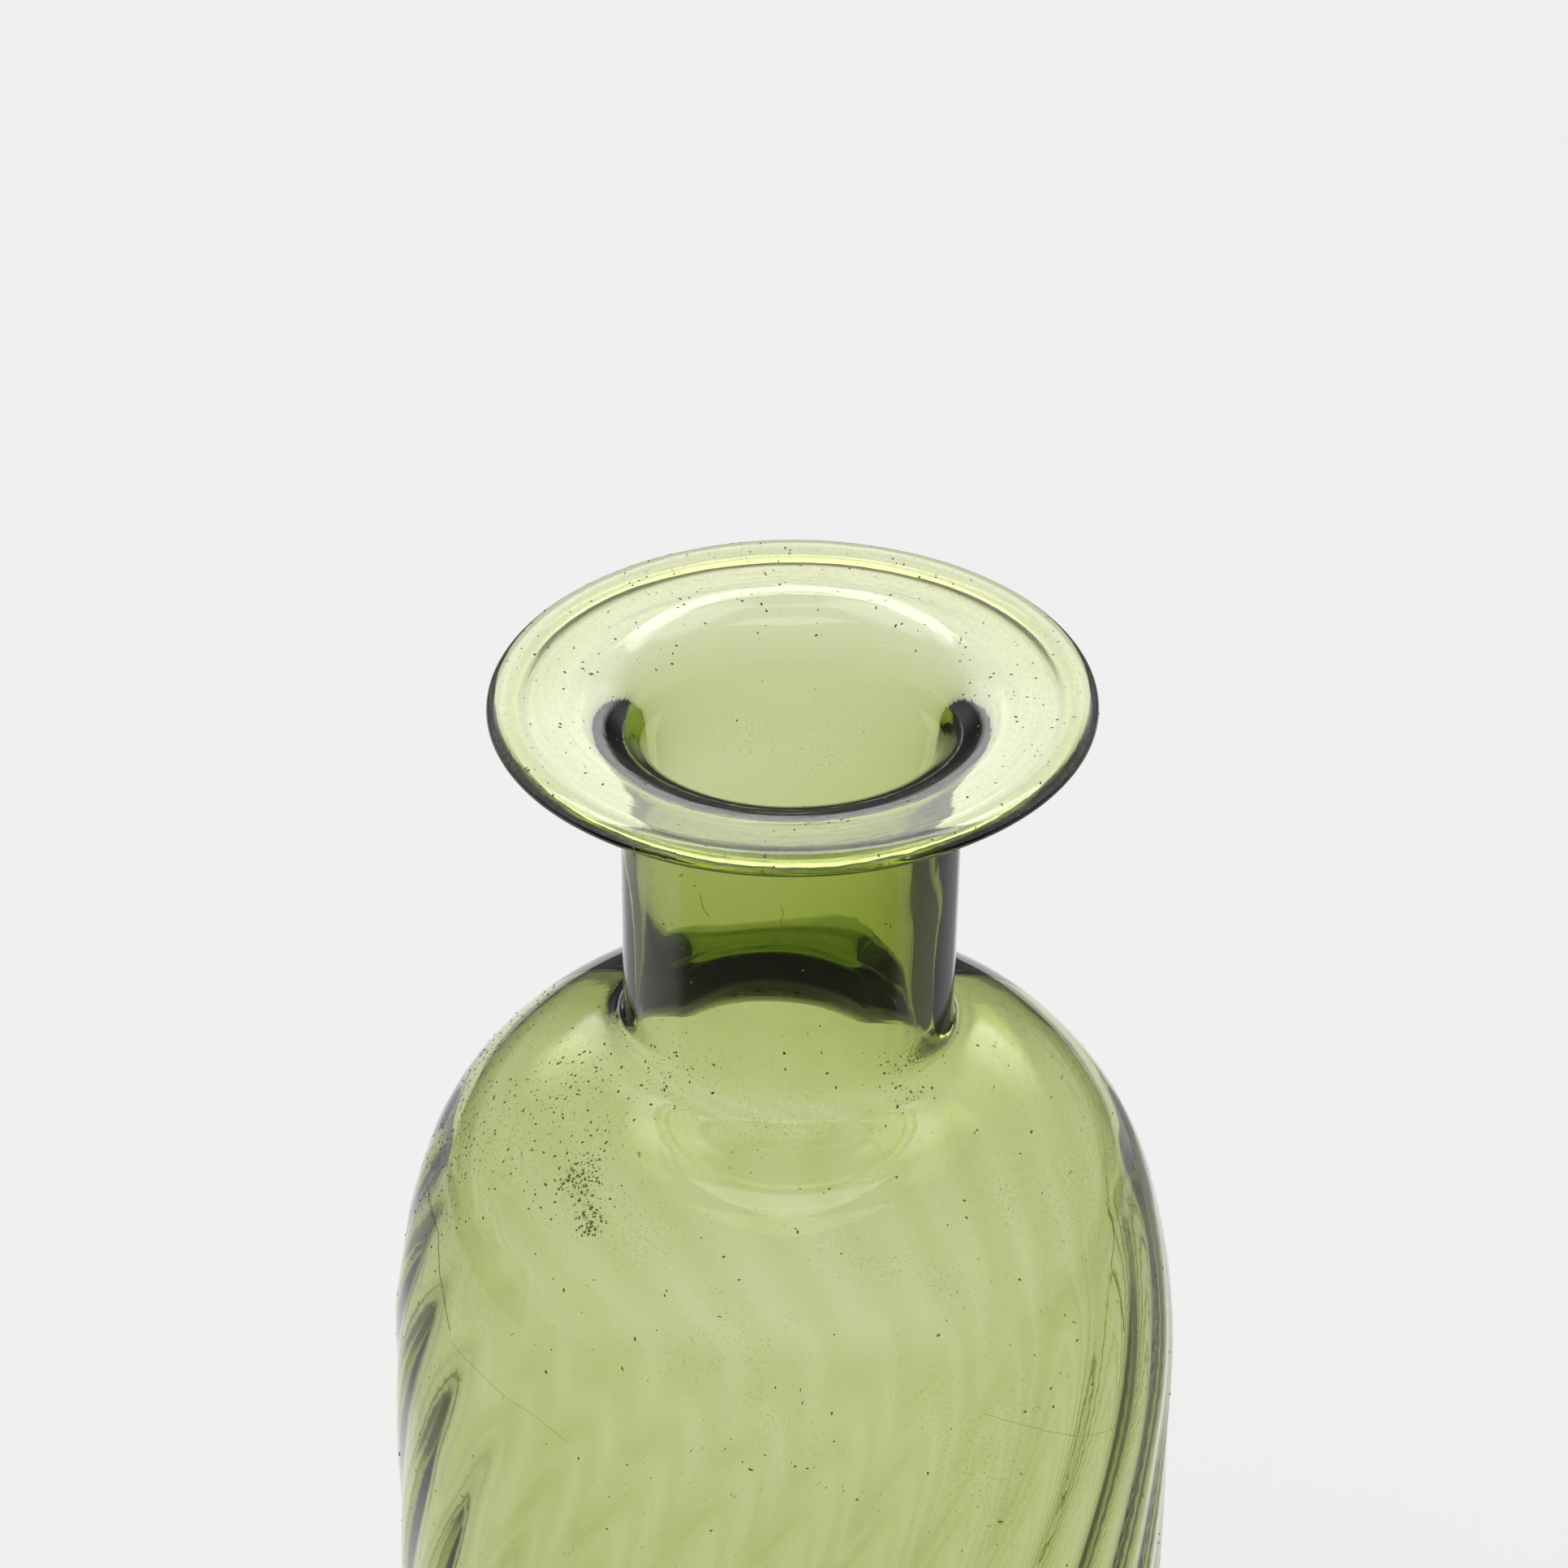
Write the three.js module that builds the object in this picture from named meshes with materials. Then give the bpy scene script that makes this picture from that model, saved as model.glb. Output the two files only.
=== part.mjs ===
// A hand-blown green glass flask with a wide flat lip, a short neck and a body of swirled ribs.
// Millimetres, +Z up. The origin is the middle of the ring that the flask stands on.
//
// It is made as the glassmaker makes it, from three gathers of glass fused hot:
//   vessel       blown in a ribbed dip mould, twisted, then blown out: base, body, shoulder and neck
//   applied_lip  a gather laid on the cut end of the neck and opened out flat with the jacks
//   pontil_scar  the glass that the pontil iron left in the hollow under the base

import * as THREE from "three";

const { degToRad, lerp, smoothstep } = THREE.MathUtils;

// Body: the wall between the ribs, a little narrower at the foot
const bodyRadius = 43.75;
const bodyFootRadius = 42.2;
const springHeight = 103;
const bodyWall = 1.8;

// Heel and the ring that the flask stands on, worn flat by use
const heelHeight = 15;
const standOuterRadius = 31.5;
const standInnerRadius = 27.5;

// Push-up under the base
const pushUpHeight = 17;
const pushUpFlatRadius = 11;
const pushUpWall = 3.4;
const baseWall = 4.2;

// Shoulder: a slow curve off the body wall, then a rounder one up to the neck. The inner face turns
// more tightly than the outer one, so that the glass grows thicker towards the root of the neck.
const slowCurveRadius = 85;
const slowCurveAngle = degToRad(14);
const shoulderRadius = 32;
const shoulderInnerRadius = 24;
const neckFilletRadius = 2;
const neckInnerFilletRadius = 4;

// Neck: it opens a little towards the lip
const neckBaseRadius = 18.25;
const neckTopRadius = 18.85;
const neckLength = 30.6;
const neckWall = 3.4;

// Lip: its gather begins on the cut end of the neck. It is a trumpet curve out of the bore and another
// out of the neck's outer face, each a quarter of an ellipse, a nearly flat flange and a rolled bead.
const lipRadius = 33.45;
const lipHeight = 10.2;
const throatReach = 9;
const throatDepth = 7.8;
const underReach = 5;
const flangeRise = 0.65;
const flangeThickness = 2.4;
const beadRadius = 1.9;
const beadStand = 0.15;

// Swirled ribs, left by the dip mould and stretched as the body was blown out.
// The twist and the phase are angles about the axis: the twist is from the floor to the neck.
const ribCount = 28;
const ribHeight = 0.35;
const ribTwist = degToRad(90.5);
const ribPhase = degToRad(-78.5);
const ribCrestSharpness = 1.6;
// Where the ribs begin and reach full height, as shares of the height from the floor to the neck
const ribRiseShares = { from: 0.04, to: 0.14 };
const ribFadeShares = { from: 0.66, to: 0.93 };

// Pontil scar: a ring of glass snapped off the iron, flat where it is fused to the base
const scarOuterRadius = 9.2;
const scarInnerRadius = 5.4;
const scarHeight = 2.6;
const scarRoughness = 0.55;
// Its section: the place across the ring, the depth and the roughness there
const scarSectionShares = [
  { across: 0, down: 0, rough: 0 },
  { across: 0.25, down: 0.62, rough: 0.7 },
  { across: 0.5, down: 0.78, rough: 1 },
  { across: 0.75, down: 0.6, rough: 0.8 },
  { across: 1, down: 0, rough: 0 },
];

// Fineness of the facets. Ribbed walls have twice the facets of plain ones, so that the two join.
const plainFacetsPerRib = 2;
const plainFacets = ribCount * plainFacetsPerRib;
const ribbedFacets = 2 * plainFacets;
const lipFacets = 64;
const scarFacets = 36;

// Curves in the (radius, height) plane. Each is a list of points { r, z } with both ends included.

function polar(centre, radius, angle) {
  return {
    r: centre.r + radius * Math.cos(angle),
    z: centre.z + radius * Math.sin(angle),
  };
}

function arc(centre, radius, from, to, steps) {
  return Array.from({ length: steps + 1 }, (_, i) => polar(centre, radius, lerp(from, to, i / steps)));
}

// A quarter of an ellipse that leaves a wall upright and runs out level
function trumpet({ wallRadius, foot, reach, depth, steps }) {
  return Array.from({ length: steps + 1 }, (_, i) => {
    const angle = ((Math.PI / 2) * i) / steps;
    return {
      r: wallRadius + reach * (1 - Math.cos(angle)),
      z: foot + depth * Math.sin(angle),
    };
  });
}

function straight(from, to, steps) {
  return Array.from({ length: steps + 1 }, (_, i) => ({
    r: lerp(from.r, to.r, i / steps),
    z: lerp(from.z, to.z, i / steps),
  }));
}

// A quarter of an ellipse: level at the low point and upright at the high one
function heelCurve(low, high, steps) {
  return Array.from({ length: steps + 1 }, (_, i) => {
    const angle = ((Math.PI / 2) * i) / steps;
    return {
      r: lerp(low.r, high.r, Math.sin(angle)),
      z: lerp(high.z, low.z, Math.cos(angle)),
    };
  });
}

// The rounded cone of the push-up: it leaves both ends level
function pushUpCurve(top, bottom, steps) {
  return Array.from({ length: steps + 1 }, (_, i) => {
    const share = i / steps;
    return {
      r: lerp(top.r, bottom.r, share),
      z: lerp(top.z, bottom.z, (1 - Math.cos(Math.PI * share)) / 2),
    };
  });
}

// Body wall, shoulder and fillet of one face of the glass, set in from the outer face by its wall.
// The two shoulder curves share a tangent, and the fillet touches both the shoulder and the neck.
function shoulderFace({ wall, roundRadius, neckRadius, fillet, steps }) {
  const slowCentre = { r: bodyRadius - slowCurveRadius, z: springHeight };
  const roundCentre = polar(slowCentre, slowCurveRadius - wall - roundRadius, slowCurveAngle);
  const across = neckRadius + fillet - roundCentre.r;
  const up = Math.sqrt((roundRadius + fillet) ** 2 - across ** 2);
  const filletCentre = { r: neckRadius + fillet, z: roundCentre.z + up };
  const meetAngle = Math.atan2(up, across);
  const foot = { r: bodyFootRadius - wall, z: heelHeight };
  const spring = { r: bodyRadius - wall, z: springHeight };
  return {
    body: straight(foot, spring, steps.body),
    slow: arc(slowCentre, slowCurveRadius - wall, 0, slowCurveAngle, steps.slow).slice(1),
    round: arc(roundCentre, roundRadius, slowCurveAngle, meetAngle, steps.round).slice(1),
    fillet: arc(filletCentre, fillet, Math.PI + meetAngle, Math.PI, steps.fillet).slice(1),
    neckFoot: { r: neckRadius, z: filletCentre.z },
  };
}

const outerFace = shoulderFace({
  wall: 0,
  roundRadius: shoulderRadius,
  neckRadius: neckBaseRadius,
  fillet: neckFilletRadius,
  steps: { body: 11, slow: 3, round: 8, fillet: 4 },
});
const innerFace = shoulderFace({
  wall: bodyWall,
  roundRadius: shoulderInnerRadius,
  neckRadius: neckBaseRadius - neckWall,
  fillet: neckInnerFilletRadius,
  steps: { body: 5, slow: 2, round: 7, fillet: 5 },
});
const neckTop = { r: neckTopRadius, z: outerFace.neckFoot.z + neckLength };
const boreTop = { r: neckTopRadius - neckWall, z: neckTop.z };

// Joins rings of points into one skin. A ring is { r, z, count, turn, lift }, where lift moves a point
// out and up by its angle, and a ring of no radius is a single point. Of two neighbours, one may have
// twice the points of the other. The rings run with the glass on their left.
function skin(rings, closed = false) {
  const positions = [];
  const placed = rings.map(({ r, z, count, turn, lift }) => {
    const ring = { first: positions.length / 3, count: r === 0 ? 1 : count };
    for (let i = 0; i < ring.count; i++) {
      const angle = turn + (2 * Math.PI * i) / ring.count;
      const { out, up } = lift ? lift(angle) : { out: 0, up: 0 };
      positions.push((r + out) * Math.cos(angle), (r + out) * Math.sin(angle), z + up);
    }
    return ring;
  });
  const index = [];
  const join = (low, high) => {
    const steps = Math.max(low.count, high.count);
    const at = ({ first, count }, i) => first + (Math.floor((i * count) / steps) % count);
    for (let i = 0; i < steps; i++) {
      const corners = [at(low, i), at(low, i + 1), at(high, i + 1), at(high, i)];
      if (corners[0] !== corners[1]) index.push(corners[0], corners[1], corners[2]);
      if (corners[2] !== corners[3]) index.push(corners[0], corners[2], corners[3]);
    }
  };
  placed.slice(1).forEach((ring, i) => join(placed[i], ring));
  if (closed) join(placed.at(-1), placed[0]);
  const geometry = new THREE.BufferGeometry();
  geometry.setAttribute("position", new THREE.Float32BufferAttribute(positions, 3));
  geometry.setIndex(index);
  geometry.computeVertexNormals();
  return geometry;
}

// How far the ribs stand out at a height: 0 where the wall is plain, 1 at their full height
function ribShare(z) {
  const share = z / outerFace.neckFoot.z;
  const rise = smoothstep(share, ribRiseShares.from, ribRiseShares.to);
  const fade = smoothstep(share, ribFadeShares.from, ribFadeShares.to);
  return rise * (1 - fade);
}

// The angle that the first rib has reached at a height. Seen from outside, the ribs climb to the right.
function ribTurn(z) {
  return ribPhase + (ribTwist * z) / outerFace.neckFoot.z;
}

function ribbedRing({ r, z }) {
  const turn = ribTurn(z);
  const stand = ribHeight * ribShare(z);
  const lift = (angle) => {
    const wave = (1 + Math.cos(ribCount * (angle - turn))) / 2;
    return { out: stand * wave ** ribCrestSharpness, up: 0 };
  };
  return { r, z, count: ribbedFacets, turn, lift };
}

function plainRing(turn) {
  return ({ r, z }) => ({ r, z, count: plainFacets, turn });
}

function makeVessel() {
  const shoulderTop = outerFace.round.at(-1);
  const footTurn = ribTurn(0);
  const neckTurn = ribTurn(shoulderTop.z);
  const standInner = { r: standInnerRadius, z: 0 };
  const standOuter = { r: standOuterRadius, z: 0 };
  const underside = [
    { r: 0, z: pushUpHeight },
    ...pushUpCurve({ r: pushUpFlatRadius, z: pushUpHeight }, standInner, 6),
    standOuter,
  ];
  const ribbed = [
    ...heelCurve(standOuter, outerFace.body[0], 6).slice(1, -1),
    ...outerFace.body,
    ...outerFace.slow,
    ...outerFace.round.slice(0, -1),
  ];
  const neck = [shoulderTop, ...outerFace.fillet, ...straight(outerFace.neckFoot, neckTop, 3).slice(1)];
  // The inner face is listed from the floor to the bore, and then run the other way
  const floorRing = { r: (standInnerRadius + standOuterRadius) / 2, z: baseWall };
  const inside = [
    ...pushUpCurve({ r: 0, z: pushUpHeight + pushUpWall }, floorRing, 6),
    ...heelCurve(floorRing, innerFace.body[0], 5).slice(1, -1),
    ...innerFace.body,
    ...innerFace.slow,
    ...innerFace.round,
    ...innerFace.fillet,
    boreTop,
  ].reverse();
  return skin([
    ...underside.map(plainRing(footTurn)),
    ...ribbed.map(ribbedRing),
    ...neck.map(plainRing(neckTurn)),
    ...inside.map(plainRing(neckTurn)),
  ]);
}

// The lip's section runs from the neck's rim under the flange, round the bead and back down the throat
function makeLip() {
  const flangeTop = neckTop.z + lipHeight;
  const flangeUnder = flangeTop - flangeThickness;
  const beadCentre = { r: lipRadius - beadRadius, z: flangeTop + flangeRise + beadStand - beadRadius };
  const underMeet = Math.asin((flangeThickness + beadStand - beadRadius) / beadRadius);
  const topMeet = Math.asin((beadRadius - beadStand) / beadRadius);
  const under = trumpet({
    wallRadius: neckTop.r,
    foot: neckTop.z,
    reach: underReach,
    depth: flangeUnder - neckTop.z,
    steps: 5,
  });
  const throat = trumpet({
    wallRadius: boreTop.r,
    foot: flangeTop - throatDepth,
    reach: throatReach,
    depth: throatDepth,
    steps: 6,
  });
  const bead = arc(beadCentre, beadRadius, underMeet - Math.PI, Math.PI - topMeet, 9);
  const section = [...under, ...bead, ...throat.reverse(), boreTop];
  return skin(section.map(({ r, z }) => ({ r, z, count: lipFacets, turn: 0 })), true);
}

// The break is uneven: lumps run round the ring in waves of different lengths
function makePontilScar() {
  const ring = ({ across, down, rough }) => ({
    r: lerp(scarInnerRadius, scarOuterRadius, across),
    z: pushUpHeight - scarHeight * down,
    count: scarFacets,
    turn: 0,
    lift: (angle) => {
      const shift = 2 * Math.PI * across;
      return {
        out: scarRoughness * rough * Math.sin(3 * angle + shift) * Math.cos(5 * angle),
        up: scarRoughness * rough * (Math.sin(4 * angle + shift) + Math.cos(7 * angle - shift)),
      };
    },
  });
  return skin(scarSectionShares.map(ring), true);
}

const greenGlass = new THREE.MeshStandardMaterial({
  color: 0x9fb35a,
  roughness: 0.05,
  metalness: 0,
  transparent: true,
  opacity: 0.55,
});

function piece(name, geometry) {
  const mesh = new THREE.Mesh(geometry, greenGlass.clone());
  mesh.name = name;
  return mesh;
}

const flask = new THREE.Group();
flask.add(
  piece("vessel", makeVessel()),
  piece("applied_lip", makeLip()),
  piece("pontil_scar", makePontilScar()),
);

export default flask;
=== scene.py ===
# An antique hand-blown green glass flask: wide flat lip, short neck, round shoulder and swirled ribs.
# Metres, +Z up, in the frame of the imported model.

import math

import bmesh
import bpy
import numpy as np
from mathutils import Matrix, Vector, noise
from mathutils.bvhtree import BVHTree


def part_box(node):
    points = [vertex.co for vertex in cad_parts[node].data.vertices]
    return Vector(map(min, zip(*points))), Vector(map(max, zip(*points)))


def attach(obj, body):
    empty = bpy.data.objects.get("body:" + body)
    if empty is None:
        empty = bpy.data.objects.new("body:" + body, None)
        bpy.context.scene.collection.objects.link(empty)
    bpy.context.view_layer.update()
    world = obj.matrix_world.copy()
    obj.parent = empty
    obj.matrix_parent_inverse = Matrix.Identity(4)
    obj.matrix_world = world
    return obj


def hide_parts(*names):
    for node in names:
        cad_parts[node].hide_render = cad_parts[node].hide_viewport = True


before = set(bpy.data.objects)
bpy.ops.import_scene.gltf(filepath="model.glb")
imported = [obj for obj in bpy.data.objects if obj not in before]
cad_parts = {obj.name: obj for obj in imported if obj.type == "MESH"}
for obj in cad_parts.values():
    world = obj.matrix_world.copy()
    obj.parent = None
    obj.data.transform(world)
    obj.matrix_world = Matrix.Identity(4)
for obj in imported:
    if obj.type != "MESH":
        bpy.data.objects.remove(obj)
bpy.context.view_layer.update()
scene = bpy.context.scene
scene.view_settings.view_transform = "Standard"


# Camera: it looks down on the mouth of the flask from the front, from 1.2 m, through a long lens.
# The flask leans a little to the right in the picture, which is the camera's roll.
rim_centre = Vector((0, 0, 0.1886))
camera_distance = 1.2
camera_height_angle = math.radians(32.5)
look_down_angle = math.radians(32.918)
camera_roll = math.radians(0.77)
camera_offset = Vector((-0.00081, 0, 0))

camera_data = bpy.data.cameras.new("camera")
camera_data.sensor_width = 36
camera_data.lens = 252.86
camera_data.clip_start = 0.01
camera_data.clip_end = 20
camera = bpy.data.objects.new("camera", camera_data)
scene.collection.objects.link(camera)
scene.camera = camera
back = Vector((0, -math.cos(camera_height_angle), math.sin(camera_height_angle)))
level_right = Vector((1, 0, 0))
level_up = Vector((0, math.sin(look_down_angle), math.cos(look_down_angle)))
right = level_right * math.cos(camera_roll) + level_up * math.sin(camera_roll)
up = level_up * math.cos(camera_roll) - level_right * math.sin(camera_roll)
turn = Matrix((right, up, right.cross(up))).transposed()
camera.matrix_world = Matrix.Translation(rim_centre + camera_offset + back * camera_distance) @ turn.to_4x4()


# The room: dark, with a bank of lamps behind the flask, a lamp high at each side of the bank and a bent sheet
# of light overhead. The camera sees plain white instead, also straight through the glass. Only what the glass
# mirrors, inside or outside, is lamps and dark room, which is how clear glass gets its dark edges.
white_level = 0.871
dark_level = 0.12
side_level = 0.5
fill_level = 0.85
room_colour = (0.52, 0.60, 0.78, 1)
# In degrees: azimuths round the flask from straight behind it, and heights above the table.
room_heights = (6, 20)
room_azimuths = (115, 145)
bank_azimuths = (46.605, 21.395)
bank_foot_azimuths = (18.125, 31.875)
# Going up the bank: from and to which height the light changes, and to what level.
bank_steps = ((16, 21, 3.0), (30, 34, 2.0), (44, 47, 7.0), (54, 58, 0.5))
rear_lamp_toward = (0.29, 0.34, 0.89)
rear_lamp_half_widths = (14, 7)
rear_lamp_level = 2.6
overhead_toward = (0, -0.22, 0.97)
overhead_half_across = 0.40
overhead_half_up = 0.11
overhead_bend = 1.5
overhead_edge = 0.02
overhead_level = 2.6


def node(tree, kind, inputs=(), **settings):
    """Adds a node. Its inputs are values or other nodes' outputs, in order or by name; None is left alone."""
    made = tree.nodes.new(kind)
    for name, value in settings.items():
        setattr(made, name, value)
    for key, value in inputs.items() if isinstance(inputs, dict) else enumerate(inputs):
        if isinstance(value, bpy.types.NodeSocket):
            tree.links.new(value, made.inputs[key])
        elif value is not None:
            made.inputs[key].default_value = value
    return made


def calc(tree, operation, *inputs, clamp=False):
    """The output of a Math node."""
    return node(tree, "ShaderNodeMath", inputs, operation=operation, use_clamp=clamp).outputs[0]


def product(tree, *factors):
    """The product of any number of values."""
    result = factors[0]
    for factor in factors[1:]:
        result = calc(tree, "MULTIPLY", result, factor)
    return result


def total(tree, *terms):
    """The sum of any number of values."""
    result = terms[0]
    for term in terms[1:]:
        result = calc(tree, "ADD", result, term)
    return result


def ramp(tree, value, low, high, from_level=0.0, to_level=1.0):
    """A smooth step between two levels, as the value goes from low to high."""
    names = ("Value", "From Min", "From Max", "To Min", "To Max")
    inputs = dict(zip(names, (value, low, high, from_level, to_level)))
    return node(tree, "ShaderNodeMapRange", inputs, interpolation_type="SMOOTHSTEP").outputs["Result"]


def mix(tree, factor, a, b):
    """The colour between two colours."""
    return node(tree, "ShaderNodeMix", {0: factor, 6: a, 7: b}, data_type="RGBA").outputs[2]


def split(tree, vector):
    """The three parts of a vector."""
    return node(tree, "ShaderNodeSeparateXYZ", [vector]).outputs


def grey(level):
    """A colour without a hue."""
    return (level, level, level, 1)


def along(tree, parts, axis):
    """How far a direction, given by its parts, reaches along an axis."""
    return total(tree, *(calc(tree, "MULTIPLY", part, size) for part, size in zip(parts, axis)))


def overhead_sheet(tree, parts):
    """1 inside the sheet of light overhead, which is bent and narrows to its ends, and 0 outside."""
    toward = Vector(overhead_toward).normalized()
    across = Vector((1, 0, 0))
    upward = toward.cross(across)
    ahead = calc(tree, "MAXIMUM", along(tree, parts, toward), 0.001)
    u = calc(tree, "DIVIDE", along(tree, parts, across), ahead)
    v = calc(tree, "DIVIDE", along(tree, parts, upward), ahead)
    u_squared = calc(tree, "MULTIPLY", u, u)
    from_middle = calc(tree, "ABSOLUTE", calc(tree, "MULTIPLY_ADD", u_squared, -overhead_bend, v))
    narrowing = -overhead_half_up / overhead_half_across**2
    half_width = calc(tree, "MULTIPLY_ADD", u_squared, narrowing, overhead_half_up)
    inside = ramp(tree, calc(tree, "SUBTRACT", from_middle, half_width), overhead_edge, -overhead_edge)
    return product(tree, inside, calc(tree, "GREATER_THAN", ahead, 0.01))


def from_back(tree, x, y):
    """The angle round the flask, measured from straight behind it."""
    return calc(tree, "ARCTAN2", calc(tree, "ABSOLUTE", x), y)


world = bpy.data.worlds.new("studio")
world.use_nodes = True
scene.world = world
tree = world.node_tree
tree.nodes.clear()
toward = split(tree, node(tree, "ShaderNodeTexCoord").outputs["Generated"])
height = toward[2]
azimuth = from_back(tree, toward[0], toward[1])
bank = ramp(tree, azimuth, *np.radians(bank_foot_azimuths), dark_level, side_level)
for *heights, level in bank_steps:
    rise = ramp(tree, height, *np.sin(np.radians(heights)))
    bank = calc(tree, "MULTIPLY_ADD", calc(tree, "SUBTRACT", level, bank), rise, bank)
in_front = ramp(tree, azimuth, *np.radians(room_azimuths))
beside_level = calc(tree, "MULTIPLY_ADD", in_front, dark_level - side_level, side_level)
over_table = ramp(tree, height, *np.sin(np.radians(room_heights)))
room = mix(tree, calc(tree, "MULTIPLY", over_table, in_front), beside_level, room_colour)
room = mix(tree, overhead_sheet(tree, toward), room, grey(overhead_level))
either_side = (calc(tree, "ABSOLUTE", toward[0]), toward[1], toward[2])
toward_lamp = along(tree, either_side, Vector(rear_lamp_toward).normalized())
rear_lamp = ramp(tree, toward_lamp, *np.cos(np.radians(rear_lamp_half_widths)))
sky = mix(tree, ramp(tree, azimuth, *np.radians(bank_azimuths)), room, bank)
sky = mix(tree, rear_lamp, sky, grey(rear_lamp_level))
path = node(tree, "ShaderNodeLightPath").outputs
seen_in_glass = calc(tree, "ADD", path["Is Glossy Ray"], path["Is Transmission Ray"], clamp=True)
sky = mix(tree, seen_in_glass, grey(fill_level), sky)
unmirrored = calc(tree, "LESS_THAN", path["Glossy Depth"], 0.5)
straight_through = calc(tree, "MULTIPLY", path["Is Transmission Ray"], unmirrored)
sky = mix(tree, straight_through, sky, grey(white_level))
sky = mix(tree, path["Is Camera Ray"], sky, grey(white_level))
background = node(tree, "ShaderNodeBackground", {"Color": sky, "Strength": 1.0})
node(tree, "ShaderNodeOutputWorld", [background.outputs[0]])


# The table: white paper, with a dark card at each side of the flask. The camera sees only white paper, also
# through the glass. The glass mirrors the cards, and dark table in front of the flask and far away from it.
# Distances are from the middle of the flask's foot.
table_radius = 8.0
table_sides = 96
paper_level = 0.87
lit_paper_share = 0.45
lit_paper_distances = (0.3, 1.2)
front_azimuths = (85, 110)
front_dark_distances = (0.07, 0.12)
far_dark_distances = (0.62, 0.74)
right_card_place = 0.10
left_card_place = 0.12
card_edge = 0.02
card_back_ends = (0.36, 0.30)
right_card_mirrored = 0.65
left_card_mirrored = 0.40


def new_material(name):
    """A material, its node tree and, in that, the place on the object."""
    material = bpy.data.materials.new(name)
    material.use_nodes = True
    tree = material.node_tree
    tree.nodes.clear()
    return material, tree, node(tree, "ShaderNodeTexCoord").outputs["Object"]


def card(tree, outward, place, reach):
    """1 on a card that lies beyond a place at one side of the flask, and 0 off it."""
    return calc(tree, "MULTIPLY", ramp(tree, outward, place - card_edge, place + card_edge), reach)


bpy.ops.mesh.primitive_circle_add(vertices=table_sides, radius=table_radius, fill_type="NGON")
floor = bpy.context.object
floor.name = floor.data.name = "floor"
material, tree, place = new_material("white_table")
table_x, table_y, _ = split(tree, place)
away = node(tree, "ShaderNodeVectorMath", [place], operation="LENGTH").outputs["Value"]
path = node(tree, "ShaderNodeLightPath").outputs
mirrored = calc(tree, "GREATER_THAN", path["Glossy Depth"], 0.5)
entered_glass = calc(tree, "GREATER_THAN", path["Transmission Depth"], 0.5)
in_front = ramp(tree, from_back(tree, table_x, table_y), *np.radians(front_azimuths))
dark_front = product(tree, mirrored, in_front, ramp(tree, away, *front_dark_distances))
dark_far = calc(tree, "MULTIPLY", mirrored, ramp(tree, away, *far_dark_distances))
card_reach = ramp(tree, table_y, *card_back_ends)
right_card = card(tree, table_x, right_card_place, card_reach)
left_card = card(tree, calc(tree, "MULTIPLY", table_x, -1.0), left_card_place, card_reach)
right_outside = calc(tree, "MULTIPLY", right_card, right_card_mirrored)
left_outside = calc(tree, "MULTIPLY", left_card, left_card_mirrored)
cards_outside = calc(tree, "MULTIPLY", mirrored, calc(tree, "ADD", right_outside, left_outside))
cards_inside = product(tree, mirrored, entered_glass, calc(tree, "MAXIMUM", right_card, left_card))
cards = calc(tree, "MAXIMUM", cards_inside, cards_outside)
dark = calc(tree, "MAXIMUM", calc(tree, "MAXIMUM", dark_front, cards), dark_far)
paper = node(tree, "ShaderNodeBsdfDiffuse", [grey(paper_level)])
glow = node(tree, "ShaderNodeEmission", [mix(tree, dark, grey(white_level), grey(dark_level)), 1.0])
lit_share = ramp(tree, away, *lit_paper_distances, lit_paper_share, 0.0)
lit_share = calc(tree, "MULTIPLY", lit_share, calc(tree, "SUBTRACT", 1.0, dark))
shader = node(tree, "ShaderNodeMixShader", [lit_share, glow.outputs[0], paper.outputs[0]])
node(tree, "ShaderNodeOutputMaterial", [shader.outputs[0]])
floor.data.materials.append(material)


# The soft lamp: a round soft box over the table, in front of the flask at its left. It lights the paper and
# the dirt, and gives the flask its faint shadow. The camera and the glass don't see the lamp itself.
soft_lamp = bpy.data.objects.new("soft_lamp", bpy.data.lights.new("soft_lamp", "AREA"))
soft_lamp.data.shape = "DISK"
soft_lamp.data.size = 0.7
soft_lamp.data.energy = 4.0
soft_lamp.location = (-0.35, -0.35, 1.3)
soft_lamp.rotation_euler = (-soft_lamp.location).to_track_quat("-Z", "Y").to_euler()
soft_lamp.visible_camera = soft_lamp.visible_glossy = soft_lamp.visible_transmission = False
scene.collection.objects.link(soft_lamp)


# The flask's glass: one wall of green bottle glass, blown in a ribbed dip mould, twisted and blown out, with
# a second gather laid round the mouth and opened out flat. The two gathers fused hot, so there is no joint.
# The glass gathered thickly round the back of the neck's root, where it was held while the lip was made.
body_radius = 0.04375
foot_radius = 0.0422
spring_height = 0.103
heel_height = 0.015
stand_outer_radius = 0.0315
stand_inner_radius = 0.0275
push_up_height = 0.017
push_up_flat_radius = 0.011
push_up_wall = 0.0034
base_wall = 0.0042
slow_curve_radius = 0.085
slow_curve_angle = math.radians(14)
shoulder_radius = 0.032
neck_fillet_radius = 0.0020
neck_base_radius = 0.01825
neck_top_radius = 0.01885
neck_wall = 0.0034
lip_radius = 0.03345
lip_top_height = 0.1893
lip_throat_depth = 0.0078
lip_throat_reach = 0.0092
lip_under_depth = 0.0076
lip_under_reach = 0.0053
flange_rise = 0.0006
flange_thickness = 0.0019
rim_thickness = 0.0024
rim_swell_radius = 0.0265
rim_half_height = 0.0014
rim_reach = 0.0026
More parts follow.
